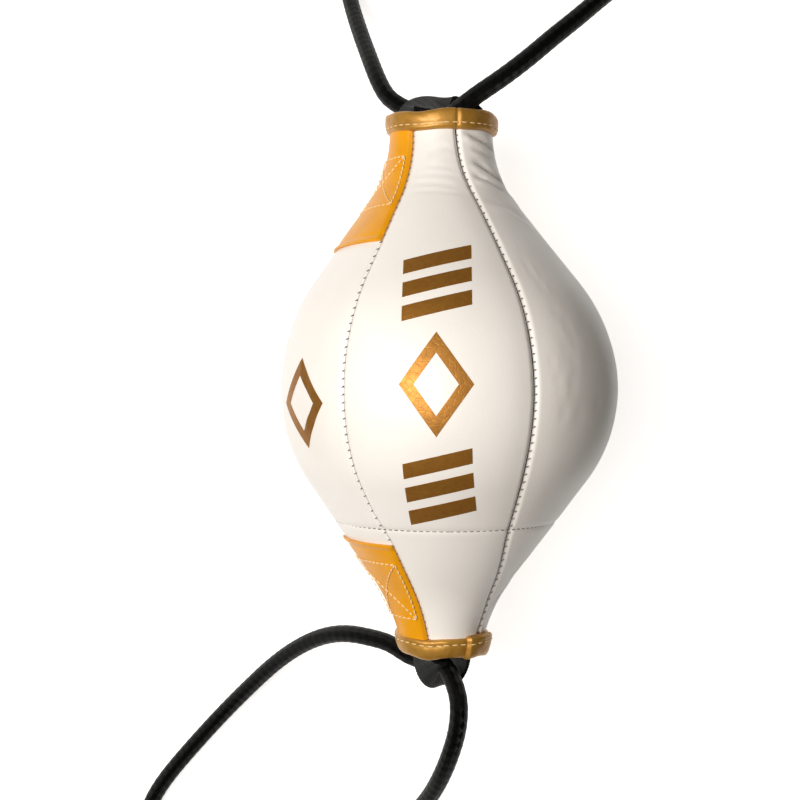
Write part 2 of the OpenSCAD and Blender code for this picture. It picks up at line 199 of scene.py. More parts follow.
def add_node(tree, kind, settings=None, **inputs):
    """A shader node with its settings, and its inputs set or linked by name. _0 and _1 number unnamed twins."""
    node = tree.nodes.new(kind)
    for key, value in (settings or {}).items():
        setattr(node, key, value)
    for key, value in inputs.items():
        socket = node.inputs[int(key[1:])] if key[0] == "_" else node.inputs[key.replace("_", " ")]
        if isinstance(value, bpy.types.NodeSocket):
            tree.links.new(value, socket)
        else:
            socket.default_value = value
    return node


def start_material(name):
    """A material with a bare Principled shader."""
    material = bpy.data.materials.new(name)
    material.use_nodes = True
    return material, material.node_tree, material.node_tree.nodes["Principled BSDF"]


# Braided polyester: dull black, each bundle of yarn catches a little light
# along its threads, and stray pale flecks show where the yarn is worn.
thread_per_bump = 5
cord_black, tree, shader = start_material("braided_polyester")
place = add_node(tree, "ShaderNodeUVMap", {"uv_map": "braid"})
axes = add_node(tree, "ShaderNodeSeparateXYZ", Vector=place.outputs[0])
total = add_node(tree, "ShaderNodeMath", {"operation": "ADD"}, _0=axes.outputs[0], _1=axes.outputs[1])
apart = add_node(tree, "ShaderNodeMath", {"operation": "SUBTRACT"}, _0=axes.outputs[0], _1=axes.outputs[1])
waves = []
for way in (total, apart):
    turn = add_node(tree, "ShaderNodeMath", {"operation": "MULTIPLY"}, _0=way.outputs[0], _1=math.pi)
    waves.append(add_node(tree, "ShaderNodeMath", {"operation": "SINE"}, _0=turn.outputs[0]))
over = add_node(tree, "ShaderNodeMath", {"operation": "MULTIPLY"}, _0=waves[0].outputs[0], _1=waves[1].outputs[0])
threads = []
for way in (total, apart):
    turn = add_node(
        tree, "ShaderNodeMath", {"operation": "MULTIPLY"}, _0=way.outputs[0], _1=math.tau * thread_per_bump
    )
    threads.append(add_node(tree, "ShaderNodeMath", {"operation": "SINE"}, _0=turn.outputs[0]))
which = add_node(tree, "ShaderNodeMath", {"operation": "GREATER_THAN"}, _0=over.outputs[0], _1=0.0)
yarn = add_node(
    tree, "ShaderNodeMix", {"data_type": "FLOAT"},
    Factor=which.outputs[0], _2=threads[0].outputs[0], _3=threads[1].outputs[0],
)
flecks = add_node(tree, "ShaderNodeTexNoise", Vector=place.outputs[0], Scale=7.0, Detail=3.0, Roughness=0.7)
fleck_ramp = add_node(tree, "ShaderNodeMapRange", Value=flecks.outputs[0], From_Min=0.62, From_Max=0.8)
colour = add_node(
    tree, "ShaderNodeMix", {"data_type": "RGBA"},
    Factor=fleck_ramp.outputs[0], _6=linear("#010101"), _7=linear("#171613"),
)
tree.links.new(colour.outputs[2], shader.inputs["Base Color"])
bump = add_node(tree, "ShaderNodeBump", Height=yarn.outputs[0], Strength=0.9, Distance=0.15 * MM)
tree.links.new(bump.outputs[0], shader.inputs["Normal"])
shader.inputs["Roughness"].default_value = 0.42
shader.inputs["IOR"].default_value = 1.25
shader.inputs["Sheen Weight"].default_value = 0.01
shader.inputs["Sheen Roughness"].default_value = 0.5

# Each run, from the middle of its loop to its end in the clamp, becomes a
# braided tube; its corners are given in mm.
for name, corners in runs.items():
    end = "top" if "top" in name else "low"
    outwards = 1 if end == "top" else -1
    ahead = Vector((0, outwards * crimped_length, 0))
    corners_m = [Vector(c) * MM for c in corners]
    corners_m.append(corners_m[-1] + ahead)
    route = smooth_route(corners_m, ring_step)
    run = braided_tube(f"{name}_run", route)
    run.data.materials.append(cord_black)
    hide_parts(name, f"cord_ends_{end}")
    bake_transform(run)


# ---------------------------------------------------------------- Leather panels
# Six gores of white coated leather, each in two pieces, sewn along the bag
# and once round it low down. The bladder holds them taut. Near the necks
# they twist a little and crease, and the edges turn in at every seam.
belly_r = axis_z
top_len = 150.5 * MM
belly_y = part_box("panel_front")[1].y - top_len
low_len = belly_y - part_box("lower_panel_front")[0].y
cross_seam = belly_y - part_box("panel_front")[0].y
leather_t = 1.3 * MM
belly_lean = 4 * MM
lean_reach = 80 * MM
lip_dip = 3.5 * MM


def side_radius(y, waist, belly_curve, neck_curve, neck):
    """Radius of one side of the bag: the belly's arc, a straight line and the neck's hollow arc."""
    across = belly_curve + neck_curve - (belly_r - neck)
    both = belly_curve + neck_curve
    a = math.atan2(waist, across) - math.acos(both / math.hypot(waist, across))
    belly_end, neck_end = belly_curve * math.sin(a), waist - neck_curve * math.sin(a)
    if y <= belly_end:
        return belly_r - belly_curve + math.sqrt(belly_curve**2 - y**2)
    if y >= neck_end:
        return neck + neck_curve - math.sqrt(neck_curve**2 - (waist - y) ** 2)
    return belly_r - belly_curve * (1 - math.cos(a)) - (y - belly_end) * math.tan(a)


def bag_radius(y):
    if y >= 0:
        return side_radius(y, 142 * MM, 98 * MM, 70 * MM, 28.3 * MM)
    return side_radius(-y, 165 * MM, 86 * MM, 110 * MM, 19.5 * MM)


def ease(x, low, high):
    t = min(1.0, max(0.0, (x - low) / (high - low)))
    return t * t * (3 - 2 * t)


def bag_point(turn, y, lift=0.0):
    """A point of the bag: turn in degrees from straight up, y from the belly, lift out from the leather."""
    angle = math.radians(turn)
    r = bag_radius(y) + lift
    lean = belly_lean * math.exp(-((y / lean_reach) ** 2))
    dip = lip_dip * math.cos(angle) * ease(y, 110 * MM, top_len)
    return Vector((lean + r * math.sin(angle), belly_y + y - dip, belly_r + r * math.cos(angle)))


def smooth_value(table, x):
    """The value at x of a smooth curve through (x, value) pairs, in rising x."""
    xs, ys = [p[0] for p in table], [p[1] for p in table]
    if x <= xs[0] or x >= xs[-1]:
        return ys[0] if x <= xs[0] else ys[-1]
    slopes = []
    for i in range(len(xs)):
        a, b = max(i - 1, 0), min(i + 1, len(xs) - 1)
        slopes.append((ys[b] - ys[a]) / (xs[b] - xs[a]))
    i = max(k for k in range(len(xs) - 1) if xs[k] <= x)
    h = xs[i + 1] - xs[i]
    t = (x - xs[i]) / h
    return (
        (2 * t**3 - 3 * t**2 + 1) * ys[i] + (t**3 - 2 * t**2 + t) * h * slopes[i]
        + (3 * t**2 - 2 * t**3) * ys[i + 1] + (t**3 - t**2) * h * slopes[i + 1]
    )


# Turn of the seams beside the two gores that face the camera, in degrees, by
# mm from the belly.
left_seam = [(-142, -19), (-125, -23), (-105, -28), (-80, -32), (-60, -36), (0, -37), (60, -35.5),
             (110, -35.5), (150, -37)]
right_seam = [(-142, 55), (-123, 53), (-105, 46), (-78, 33), (-54, 27.5), (-33, 25.2), (0, 24.5),
              (60, 24), (85, 23.5), (100, 22), (120, 17), (150, 13)]
far_right_seam = [(-142, 113), (-125, 110), (-105, 104), (-84, 95), (-60, 87), (0, 84.5), (60, 85.5),
                  (85, 91), (110, 98), (130, 103), (150, 104)]


def gore_edges(gore, y):
    """The turns of a gore's two seams. Gore 0 is the front one, and the four at the back share what is left."""
    left, right = smooth_value(left_seam, y / MM), smooth_value(right_seam, y / MM)
    if gore == 0:
        return left, right
    far = smooth_value(far_right_seam, y / MM)
    if gore == 1:
        return right, far
    width = (360 + left - far) / 4
    return far + (gore - 2) * width, far + (gore - 1) * width


# Each crease runs between two places (turn, mm from the belly) and has a
# depth and a width in mm.
creases = [
    ((22, 140), (78, 129), 2.0, 1.9), ((30, 136), (58, 134), 1.0, 1.2), ((30, 130), (60, 124), 0.7, 1.3),
    ((30, 122), (84, 104), 2.5, 2.1), ((26, 113), (60, 106), 1.5, 1.5), ((44, 117), (80, 111), 0.9, 1.2),
    ((30, 99), (66, 88), 1.0, 2.2), ((-30, 108), (12, 105), 0.35, 1.1),
    ((-28, 113), (14, 111), 0.3, 1.0), ((-26, 103), (16, 101), 0.3, 1.1),
    ((-20, 118), (10, 116), 0.25, 1.0), ((58, -104), (74, -84), 0.5, 2.2),
    ((60, -118), (80, -100), 0.5, 2.0), ((-16, 124), (6, 131), 0.5, 2.4),
    ((-60, 40), (-50, -30), 0.2, 2.5), ((-88, 60), (-84, 10), 0.3, 3.0),
]
random.seed(11)
for _ in range(26):
    turn_at, start_at, run = random.uniform(33, 66), random.uniform(-25, 62), random.uniform(12, 30)
    creases.append(
        ((turn_at, start_at), (turn_at + random.uniform(-4, 4), start_at + run), random.uniform(0.2, 0.42),
         random.uniform(0.6, 1.0))
    )
for _ in range(40):
    turn_at, start_at, run = random.uniform(90, 320), random.uniform(-60, 50), random.uniform(14, 40)
    creases.append(
        ((turn_at, start_at), (turn_at + random.uniform(-5, 5), start_at + run), random.uniform(0.1, 0.25),
         random.uniform(0.8, 1.6))
    )
crease_boxes = []
for (t0, y0), (t1, y1), depth, width in creases:
    crease_boxes.append(
        (min(t0, t1) - 12, max(t0, t1) + 12, min(y0, y1) - 4 * width, max(y0, y1) + 4 * width)
    )


def crease_lift(turn, y_mm, radius_mm):
    """How far the creases raise or sink the leather at a place, in mm."""
    total = 0.0
    for ((t0, y0), (t1, y1), depth, width), box in zip(creases, crease_boxes):
        if not (box[0] < turn < box[1] and box[2] < y_mm < box[3]):
            continue
        arc = math.radians(1) * radius_mm
        ax, bx, px = t0 * arc, t1 * arc, turn * arc
        dx, dy = bx - ax, y1 - y0
        along = ((px - ax) * dx + (y_mm - y0) * dy) / (dx * dx + dy * dy)
        off = ((px - ax) * dy - (y_mm - y0) * dx) / math.hypot(dx, dy)
        off += 0.8 * width * math.sin(3.2 * along)
        fade = ease(along, -0.08, 0.25) * ease(along, 1.08, 0.75)
        if fade > 0:
            valley = math.exp(-((off / width) ** 2))
            ridge = 0.55 * math.exp(-(((off - 1.9 * width) / width) ** 2))
            total += depth * fade * (ridge - valley)
    return total


seam_depth, seam_half = 1.3, 1.1
# The gap between the turned edges at the right side of each gore. The
# near-black lining shows through each gap as painted shade in the seam: widest
# at the front gore's right seam, on the shaded side, and narrowest at its left
# seam, on the lit side.
painted_shade_seam_gaps = [1.1 * MM, 0.9 * MM, 0.9 * MM, 0.9 * MM, 0.9 * MM, 0.35 * MM]
hollow_depth, hollow_half = 0.6, 8.0
cross_depth, cross_half = 0.55, 1.1
dent_depth, dent_size = 0.35, 30 * MM


def leather_lift(gore, u, turn, y):
    """How far the leather stands out of the plain outline, in metres: seams, creases and soft dents."""
    low, high = gore_edges(gore, y)
    r_mm = bag_radius(y) / MM
    from_seam = (1 - abs(u)) * math.radians(high - low) / 2 * r_mm
    lift = -seam_depth * math.exp(-((from_seam / seam_half) ** 2))
    lift -= hollow_depth * math.exp(-((from_seam / hollow_half) ** 2))
    lift -= cross_depth * math.exp(-((((y + cross_seam) / MM) / cross_half) ** 2))
    wrapped = turn if turn < 300 else turn - 360
    lift += crease_lift(wrapped, y / MM, r_mm) * ease(from_seam, 0.5, 5)
    place = bag_point(turn, y)
    lift += dent_depth * (noise.noise(place / dent_size) - 0.4)
    return min(lift, 0.25) * MM


def sewn_grid(name, gore, y_from, y_to, across, along, extra, thickness):
    """A piece of leather on a gore, from a flat grid that is wrapped onto the bag and given its thickness."""
    bpy.ops.object.select_all(action="DESELECT")
    bpy.ops.mesh.primitive_grid_add(x_subdivisions=across, y_subdivisions=along, size=2)
    piece = bpy.context.object
    piece.name = piece.data.name = name
    for vertex in piece.data.vertices:
        u = math.sin(vertex.co.x * math.pi / 2)
        y = y_from + (vertex.co.y + 1) / 2 * (y_to - y_from)
        low, high = gore_edges(gore, y)
        low_edge = low + math.degrees(painted_shade_seam_gaps[gore - 1] / 2 / bag_radius(y))
        high_edge = high - math.degrees(painted_shade_seam_gaps[gore] / 2 / bag_radius(y))
        turn = low_edge + (u + 1) / 2 * (high_edge - low_edge)
        vertex.co = bag_point(turn, y, leather_lift(gore, u, turn, y) + extra(u, y))
    wall = piece.modifiers.new("wall", "SOLIDIFY")
    wall.thickness = thickness
    wall.offset = -1
    bpy.ops.object.modifier_apply(modifier="wall")
    piece.data.polygons.foreach_set("use_smooth", [True] * len(piece.data.polygons))
    bpy.ops.object.shade_smooth_by_angle(angle=math.radians(50))
    return piece


# Coated full-grain cowhide: near-white pigment under a thin clear finish,
# so a soft broad gloss over a very fine pebbled grain. Its IOR is the
# finish's, and handling leaves slightly duller and warmer patches.
grain_size = 0.7 * MM
white_leather, tree, shader = start_material("coated_white_leather")
place = add_node(tree, "ShaderNodeTexCoord")
patches = add_node(
    tree, "ShaderNodeTexNoise", Vector=place.outputs["Object"], Scale=1 / (45 * MM), Detail=3.0, Roughness=0.55
)
colour = add_node(
    tree, "ShaderNodeMix", {"data_type": "RGBA"},
    Factor=patches.outputs[0], _6=linear("#F9F4EE"), _7=linear("#EEE6DC"),
)
tree.links.new(colour.outputs[2], shader.inputs["Base Color"])
grain = add_node(tree, "ShaderNodeTexVoronoi", Vector=place.outputs["Object"], Scale=1 / grain_size)
pores = add_node(
    tree, "ShaderNodeTexNoise", Vector=place.outputs["Object"], Scale=1 / (2.4 * MM), Detail=4.0, Roughness=0.6
)
relief = add_node(tree, "ShaderNodeMath", {"operation": "ADD"}, _0=grain.outputs["Distance"], _1=pores.outputs[0])
bump = add_node(tree, "ShaderNodeBump", Height=relief.outputs[0], Strength=0.16, Distance=0.25 * MM)
tree.links.new(bump.outputs[0], shader.inputs["Normal"])
dull = add_node(tree, "ShaderNodeMapRange", Value=pores.outputs[0], To_Min=0.34, To_Max=0.5)
tree.links.new(dull.outputs[0], shader.inputs["Roughness"])
shader.inputs["IOR"].default_value = 1.48
shader.inputs["Coat Weight"].default_value = 0.15
shader.inputs["Coat Roughness"].default_value = 0.3

gores = ["front", "front_right", "back_right", "back", "back_left", "front_left"]
for gore, place_name in enumerate(gores):
    for node, y_from, y_to, along in (
        (f"panel_{place_name}", -cross_seam, top_len, 170),
        (f"lower_panel_{place_name}", -low_len, -cross_seam, 60),
    ):
        panel = sewn_grid(f"{node}_leather", gore, y_from, y_to, 44, along, lambda u, y: 0.0, leather_t)
        panel.data.materials.append(white_leather)
        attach(panel, "bag")
        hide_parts(node)


# ---------------------------------------------------------------- Seam thread
# Waxed grey polyester thread. It ties the turned edges of the gores together
# across each long seam, and lies flat along the cross seam.
def stitch_shape(start, end, thickness, points, faces):
    """Adds one stitch to points and faces: a short round thread, tapered where it goes into the leather."""
    heading = (end - start).normalized()
    side = heading.cross(Vector((0.31, 0.17, 0.93))).normalized()
    up = heading.cross(side)
    base = len(points)
    for share, fat in ((0.0, 0.45), (0.18, 0.95), (0.5, 1.0), (0.82, 0.95), (1.0, 0.45)):
        centre = start.lerp(end, share)
        for k in range(6):
            a = math.tau * k / 6
            points.append(centre + thickness / 2 * fat * (math.cos(a) * side + math.sin(a) * up))
    for i in range(4):
        for k in range(6):
            a, b = base + 6 * i + k, base + 6 * i + (k + 1) % 6
            faces.append((a, b, b + 6, a + 6))
    faces.append(tuple(base + k for k in reversed(range(6))))
    faces.append(tuple(base + 24 + k for k in range(6)))


# Thread is many fine filaments twisted together, so it is dull and its
# colour varies a little from stitch to stitch.
def thread_material(name, pale, dark):
    material, tree, shader = start_material(name)
    place = add_node(tree, "ShaderNodeTexCoord")
    tone = add_node(tree, "ShaderNodeTexNoise", Vector=place.outputs["Object"], Scale=1 / (3 * MM), Detail=2.0)
    colour = add_node(
        tree, "ShaderNodeMix", {"data_type": "RGBA"}, Factor=tone.outputs[0], _6=linear(pale), _7=linear(dark)
    )
    twist = add_node(
        tree, "ShaderNodeTexNoise", Vector=place.outputs["Object"], Scale=1 / (0.25 * MM), Detail=1.0
    )
    bump = add_node(tree, "ShaderNodeBump", Height=twist.outputs[0], Strength=0.4, Distance=0.08 * MM)
    tree.links.new(colour.outputs[2], shader.inputs["Base Color"])
    tree.links.new(bump.outputs[0], shader.inputs["Normal"])
    shader.inputs["Roughness"].default_value = 0.7
    return material


grey_thread = thread_material("grey_waxed_thread", "#8A837A", "#5A544D")
stitch_pitch = 3.9 * MM
tie_half = 0.8 * MM
points, faces = [], []
for gore in range(6):
    y = -low_len + 11 * MM
    while y < top_len - 10 * MM:
        turn = gore_edges(gore, y)[1]
        reach = math.degrees(tie_half / bag_radius(y))
        stitch_shape(
            bag_point(turn - reach, y - 0.4 * MM, -1.15 * MM), bag_point(turn + reach, y + 0.4 * MM, -1.15 * MM),
            0.5 * MM, points, faces,
        )
        y += stitch_pitch
cross_turn = 0.0
cross_step = math.degrees(3.4 * MM / bag_radius(-cross_seam))
while cross_turn < 360:
    lie = -cross_seam - 0.2 * MM
    stitch_shape(
        bag_point(cross_turn, lie, -0.75 * MM), bag_point(cross_turn + 0.62 * cross_step, lie, -0.75 * MM),
        0.5 * MM, points, faces,
    )
    cross_turn += cross_step
seam_thread = link_mesh("seam_thread", points, faces)
seam_thread.data.materials.append(grey_thread)
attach(seam_thread, "bag")


# ---------------------------------------------------------------- Neck tabs
# Yellow-orange leather over the gore at each end of both webbing loops. The
# free end is folded under, and a cream box with a cross in it sews the tab
# and the webbing's leg through the wall.
tab_t = 1.4 * MM
fold_w = 2.2
# Split cowhide dyed and coated yellow-orange, its tone varying in broad
# random patches over a fine pebbled grain.
yellow_leather, tree, shader = start_material("coated_yellow_leather")
place = add_node(tree, "ShaderNodeTexCoord")
patches = add_node(
    tree, "ShaderNodeTexNoise", Vector=place.outputs["Object"], Scale=1 / (14 * MM), Detail=4.0, Roughness=0.6
)
colour = add_node(
    tree, "ShaderNodeMix", {"data_type": "RGBA"},
    Factor=patches.outputs[0], _6=linear("#F3A800"), _7=linear("#DB8C00"),
)
tree.links.new(colour.outputs[2], shader.inputs["Base Color"])
grain = add_node(tree, "ShaderNodeTexVoronoi", Vector=place.outputs["Object"], Scale=1 / (0.8 * MM))
bump = add_node(tree, "ShaderNodeBump", Height=grain.outputs["Distance"], Strength=0.22, Distance=0.25 * MM)
tree.links.new(bump.outputs[0], shader.inputs["Normal"])
shader.inputs["Roughness"].default_value = 0.42
shader.inputs["IOR"].default_value = 1.48

cream_thread = thread_material("cream_bonded_thread", "#FBE3B4", "#EBC98A")
dash, dash_gap = 2.3 * MM, 0.9 * MM


def stitch_line(corners, lift, points, faces, thickness=0.8 * MM, length=dash, gap=dash_gap):
    """Stitches along straight lines between (turn, y) corners on the bag."""
    for (t0, y0), (t1, y1) in zip(corners, corners[1:]):
        ends = bag_point(t0, y0, lift), bag_point(t1, y1, lift)
        count = max(1, round((ends[1] - ends[0]).length / (length + gap)))
        for k in range(count):
            a, b = (k + 0.1) / count, (k + 0.1 + length / (length + gap)) / count
            stitch_shape(
                bag_point(t0 + (t1 - t0) * a, y0 + (y1 - y0) * a, lift),
                bag_point(t0 + (t1 - t0) * b, y0 + (y1 - y0) * b, lift), thickness, points, faces,
            )


for node, gore, side, fold_at, box_near, box_far in (
    ("tab_top_left", 5, 1, 76 * MM, 97 * MM, 125.5 * MM),
    ("tab_top_right", 2, 1, 76 * MM, 97 * MM, 125.5 * MM),
    ("tab_low_left", 5, -1, -80 * MM, -91 * MM, -122 * MM),
    ("tab_low_right", 2, -1, -80 * MM, -91 * MM, -122 * MM),
):
    mouth = top_len if side > 0 else -low_len

    def tab_lift(u, y, side=side, fold_at=fold_at):
        into = side * (y - fold_at) / MM
        fold = 0.7 * math.exp(-(((into - fold_w / 2) / 1.0) ** 2)) - 0.45 * math.exp(-(((into - 3.4) / 0.8) ** 2))
        return tab_t + fold * MM

    tab = sewn_grid(
        f"{node}_leather", gore, min(fold_at, mouth), max(fold_at, mouth), 40, 64, tab_lift, tab_t - 0.1 * MM
    )
    tab.data.materials.append(yellow_leather)
    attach(tab, "bag")
    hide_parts(node)
    corners = []
    for y in (box_near, box_far):
        low, high = gore_edges(gore, y)
        margin = math.degrees(2.6 * MM / bag_radius(y))
        corners.append(((low + margin, y), (high - margin, y)))
    (near_low, near_high), (far_low, far_high) = corners
    points, faces = [], []
    stitch_line([near_low, near_high, far_high, far_low, near_low], tab_t + 0.1 * MM, points, faces)
    stitch_line([near_low, far_high], tab_t + 0.15 * MM, points, faces)
    stitch_line([near_high, far_low], tab_t + 0.15 * MM, points, faces)
    box_thread = link_mesh(f"{node}_thread", points, faces)
    box_thread.data.materials.append(cream_thread)
    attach(box_thread, "bag")


# ---------------------------------------------------------------- Edge binding
# A strip of metallic gold coated leather folded over each mouth's edge and
# sewn through. It is pulled round by hand, so it waves, and its end laps
# over its start.
binding_h = 9.5 * MM
binding_t = 1.5 * MM
wall_t = 3.0 * MM

# Foil-coated leather: a metal film under clear lacquer, crazed and rubbed
# thin in random patches, so its gloss is broken up.
gold_leather, tree, shader = start_material("gold_foiled_leather")
place = add_node(tree, "ShaderNodeTexCoord")
rubbed = add_node(
    tree, "ShaderNodeTexNoise", Vector=place.outputs["Object"], Scale=1 / (5 * MM), Detail=5.0, Roughness=0.65
)
colour = add_node(
    tree, "ShaderNodeMix", {"data_type": "RGBA"},
    Factor=rubbed.outputs[0], _6=linear("#D09A40"), _7=linear("#A06E22"),
)
tree.links.new(colour.outputs[2], shader.inputs["Base Color"])
dull = add_node(tree, "ShaderNodeMapRange", Value=rubbed.outputs[0], To_Min=0.4, To_Max=0.6)
tree.links.new(dull.outputs[0], shader.inputs["Roughness"])
grain = add_node(tree, "ShaderNodeTexVoronoi", Vector=place.outputs["Object"], Scale=1 / (0.6 * MM))
bump = add_node(tree, "ShaderNodeBump", Height=grain.outputs["Distance"], Strength=0.3, Distance=0.2 * MM)
tree.links.new(bump.outputs[0], shader.inputs["Normal"])
shader.inputs["Metallic"].default_value = 0.45
shader.inputs["Coat Weight"].default_value = 0.2
shader.inputs["Coat Roughness"].default_value = 0.25

for end, side, mouth, lap_turn in (("top", 1, top_len, 14.0), ("low", -1, -low_len, 30.0)):
    bpy.ops.object.select_all(action="DESELECT")
    bpy.ops.mesh.primitive_torus_add(
        major_segments=240, minor_segments=36, major_radius=1.0, minor_radius=0.25
    )
    ring = bpy.context.object
    ring.name = ring.data.name = f"binding_{end}_leather"
    half_h, half_t = (binding_h + binding_t) / 2, (wall_t + tab_t + 2 * binding_t) / 2
    mid_lift, mid_y = (tab_t - wall_t) / 2, mouth + side * (binding_t - half_h)
    wave_shift = 3.0 * (end == "low")
    lap_t, lap_reach = (0.6 * MM, 26) if end == "top" else (2.2 * MM, 56)
    for vertex in ring.data.vertices:
        around = math.degrees(math.atan2(vertex.co.x, vertex.co.y)) % 360
        across = math.hypot(vertex.co.x, vertex.co.y) - 1.0
        section = math.atan2(vertex.co.z, across)
        c, s = math.cos(section), math.sin(section)
        out = math.copysign(abs(c) ** 0.62, c) * half_t
        up = math.copysign(abs(s) ** 0.75, s) * half_h
        if c > 0:
            out -= 0.5 * MM * math.exp(-(((up + 2.4 * MM) / (0.8 * MM)) ** 2))
        wave = 0.7 * MM * math.sin(math.radians(3 * around) + wave_shift)
        wave += 0.45 * MM * math.sin(math.radians(7 * around) + 1.3 + wave_shift)
        past_lap = (around - lap_turn + 180) % 360 - 180
        lapped = ease(past_lap, -0.6, 0.6) * ease(past_lap, lap_reach, 0.75 * lap_reach)
        gap = math.exp(-((past_lap / 1.1) ** 2))
        out += (lap_t * lapped - 1.2 * MM * gap) * (1 if c > 0 else 0.2)
        out += 0.25 * MM * noise.noise(Vector((around / 9, up / (4 * MM), side)))
        up *= 1 + 0.18 * lapped * (end == "low")
        y = mid_y + side * (up + wave * (0.4 + 0.6 * (up + half_h) / (2 * half_h)))
        y = min(max(y, -low_len - 4 * MM), top_len + 4 * MM)
        vertex.co = bag_point(around, y, mid_lift + out)
    ring.data.update()
    bpy.ops.object.mode_set(mode="EDIT")
    bpy.ops.mesh.select_all(action="SELECT")
    bpy.ops.mesh.normals_make_consistent(inside=False)
    bpy.ops.object.mode_set(mode="OBJECT")
    ring.data.polygons.foreach_set("use_smooth", [True] * len(ring.data.polygons))
    ring.data.materials.append(gold_leather)
    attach(ring, "bag")
    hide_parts(f"binding_{end}")

    points, faces = [], []
    around = 0.0
    foot_y = mid_y - side * 2.4 * MM
    step = math.degrees(4.6 * MM / (bag_radius(foot_y) + tab_t))
    while around < 360:
        wave = 0.7 * MM * math.sin(math.radians(3 * around) + wave_shift)
        wave += 0.45 * MM * math.sin(math.radians(7 * around) + 1.3 + wave_shift)
        y = foot_y + side * wave * 0.55
        past_lap = (around - lap_turn + 180) % 360 - 180
        lapped = ease(past_lap, -0.6, 0.6) * ease(past_lap, lap_reach, 0.75 * lap_reach)
        lift = tab_t + binding_t - 0.35 * MM + lap_t * lapped
        stitch_shape(
            bag_point(around, y, lift), bag_point(around + 0.62 * step, y, lift), 0.65 * MM, points, faces
        )
        around += step
    lip_thread = link_mesh(f"binding_{end}_thread", points, faces)
    lip_thread.data.materials.append(cream_thread)
    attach(lip_thread, "bag")


# ---------------------------------------------------------------- Webbing loops
# 22 mm black nylon webbing, 2 mm thick, in a heavy plain weave. Its legs are
# sewn down inside the neck, and the arch between them takes the cord. The
# cord's pull tips the arch, so its far edge stands further out, and its near
# edge drops where no run passes.
webbing_w = 22 * MM
webbing_t = 2 * MM
rib_pitch = 1.6 * MM
loop_turn = 113.2

# Nylon webbing: black filament yarn in thick ribs, with a low sheen. The
# grooves between the ribs are coloured darker than the ribs: painted shade.
black_webbing, tree, shader = start_material("woven_nylon_webbing")
place = add_node(tree, "ShaderNodeUVMap", {"uv_map": "weave"})
weave = add_node(
    tree, "ShaderNodeTexBrick", {"offset": 0.5}, Vector=place.outputs[0], Scale=1.0, Mortar_Size=0.18,
    Mortar_Smooth=1.0, Brick_Width=1.6, Row_Height=1.0, Color1=(1, 1, 1, 1), Color2=(0.8, 0.8, 0.8, 1),
    Mortar=(0, 0, 0, 1),
)
# The pattern's mortar is the groove between ribs; its near-black is painted shade in the grooves.
colour = add_node(
    tree, "ShaderNodeMix", {"data_type": "RGBA"},
    Factor=weave.outputs["Color"], _6=linear("#020202"), _7=linear("#181817"),
)
tree.links.new(colour.outputs[2], shader.inputs["Base Color"])
bump = add_node(tree, "ShaderNodeBump", Height=weave.outputs["Color"], Strength=0.7, Distance=0.35 * MM)
tree.links.new(bump.outputs[0], shader.inputs["Normal"])
shader.inputs["Roughness"].default_value = 0.55
shader.inputs["IOR"].default_value = 1.25
shader.inputs["Sheen Weight"].default_value = 0.02
shader.inputs["Sheen Roughness"].default_value = 0.4


def leg_reach(y):
    """Distance of the webbing's outer face from the bag's axis."""
    inner = bag_radius(y) - wall_t - binding_t
    return math.sqrt(inner**2 - (webbing_w / 2) ** 2) - 0.2 * MM - webbing_t / 2


